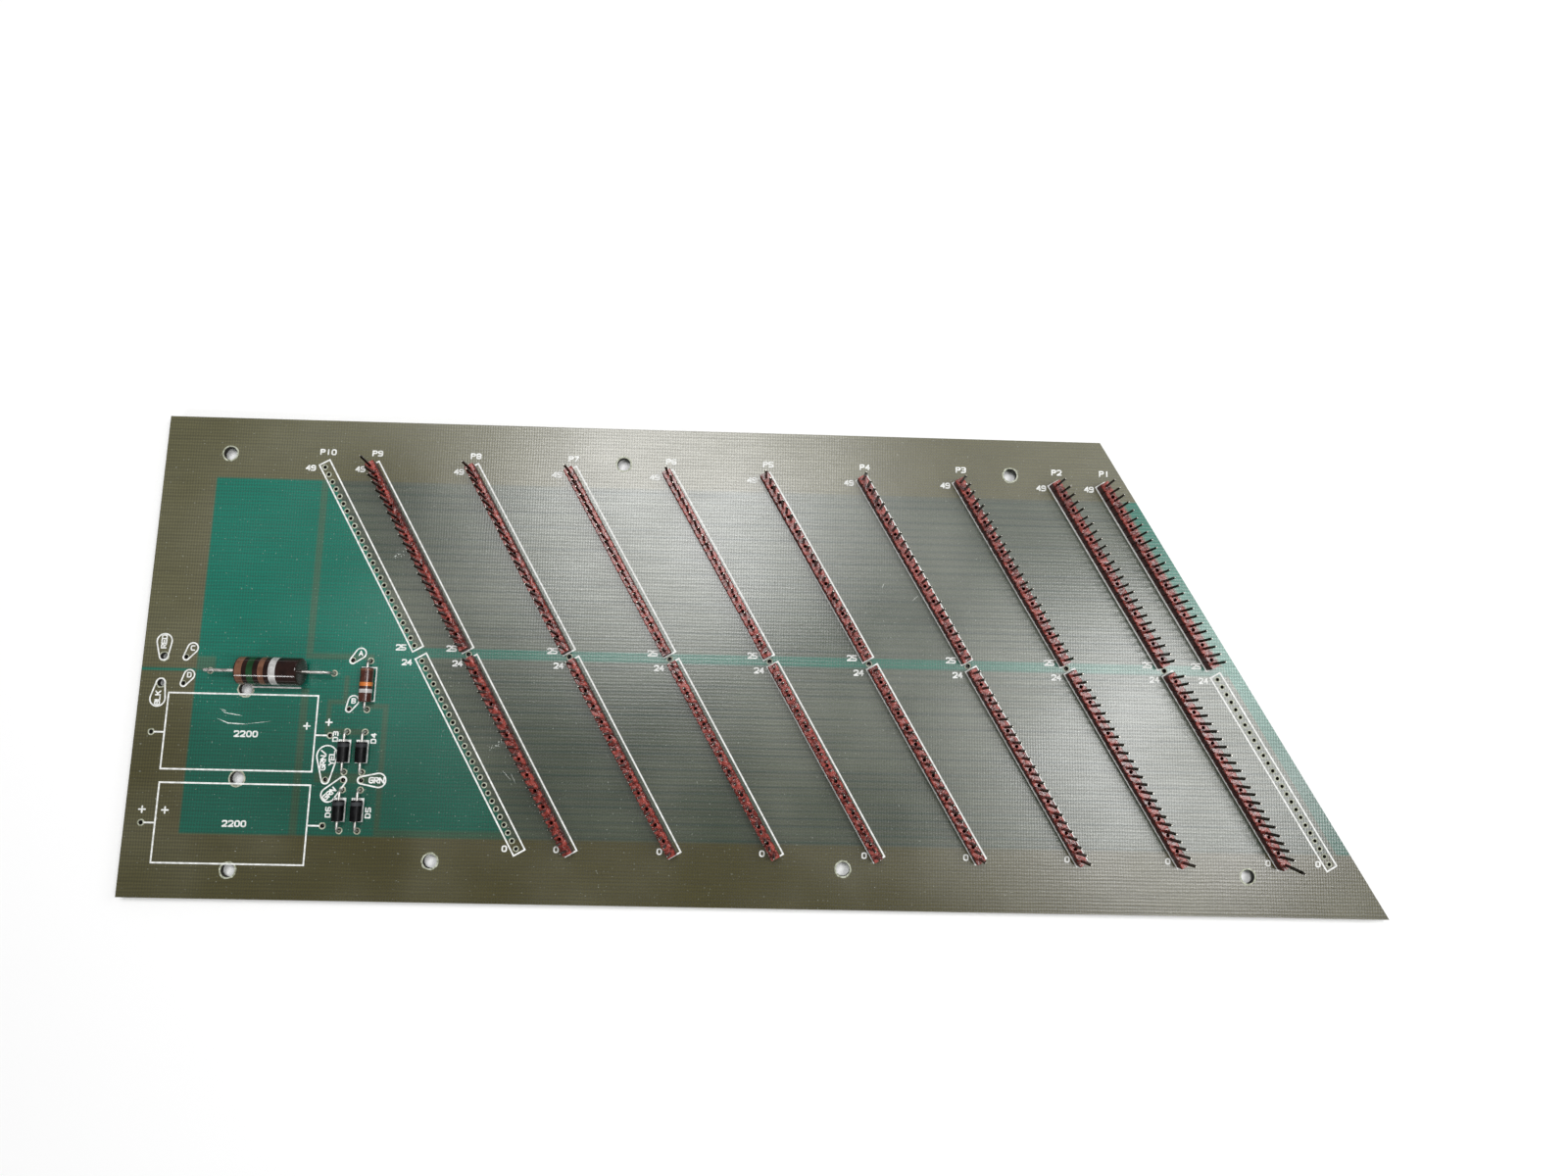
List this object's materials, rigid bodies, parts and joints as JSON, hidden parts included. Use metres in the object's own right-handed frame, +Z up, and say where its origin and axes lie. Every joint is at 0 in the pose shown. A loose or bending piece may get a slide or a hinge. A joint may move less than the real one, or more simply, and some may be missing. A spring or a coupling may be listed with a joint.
{
  "type": "interconnect circuit board",
  "caption": "Slanted interconnect circuit board with rows of pin headers on a glass laminate sheet and a small power supply section at its square end.",
  "frame": {"origin": "middle of the overall box, in the plane of the solder tips that the board lies on", "axes": "+X along the long edges from the square end to the slanted end, +Y from the long front edge to the short back edge, +Z up through the pins"},
  "size_m": [0.362, 0.1398, 0.0142],
  "materials": {
    "laminate": "satin",
    "moulding": "satin",
    "tinned_metal": "bright",
    "solder": "bright",
    "diode_case": "matte",
    "resistor_case": "satin"
  },
  "bodies": {
    "root": {"board": "laminate", "diode_d3": "diode_case", "diode_d3_leads": "tinned_metal", "diode_d4": "diode_case", "diode_d4_leads": "tinned_metal", "diode_d5": "diode_case", "diode_d5_leads": "tinned_metal", "diode_d6": "diode_case", "diode_d6_leads": "tinned_metal", "pins_p1_upper": "tinned_metal", "pins_p2_lower": "tinned_metal", "pins_p2_upper": "tinned_metal", "pins_p3_lower": "tinned_metal", "pins_p3_upper": "tinned_metal", "pins_p4_lower": "tinned_metal", "pins_p4_upper": "tinned_metal", "pins_p5_lower": "tinned_metal", "pins_p5_upper": "tinned_metal", "pins_p6_lower": "tinned_metal", "pins_p6_upper": "tinned_metal", "pins_p7_lower": "tinned_metal", "pins_p7_upper": "tinned_metal", "pins_p8_lower": "tinned_metal", "pins_p8_upper": "tinned_metal", "pins_p9_lower": "tinned_metal", "pins_p9_upper": "tinned_metal", "power_resistor": "resistor_case", "power_resistor_leads": "tinned_metal", "small_resistor": "resistor_case", "small_resistor_leads": "tinned_metal", "solder_joints": "solder", "wafer_p1_upper": "moulding", "wafer_p2_lower": "moulding", "wafer_p2_upper": "moulding", "wafer_p3_lower": "moulding", "wafer_p3_upper": "moulding", "wafer_p4_lower": "moulding", "wafer_p4_upper": "moulding", "wafer_p5_lower": "moulding", "wafer_p5_upper": "moulding", "wafer_p6_lower": "moulding", "wafer_p6_upper": "moulding", "wafer_p7_lower": "moulding", "wafer_p7_upper": "moulding", "wafer_p8_lower": "moulding", "wafer_p8_upper": "moulding", "wafer_p9_lower": "moulding", "wafer_p9_upper": "moulding"}
  },
  "joints": []
}
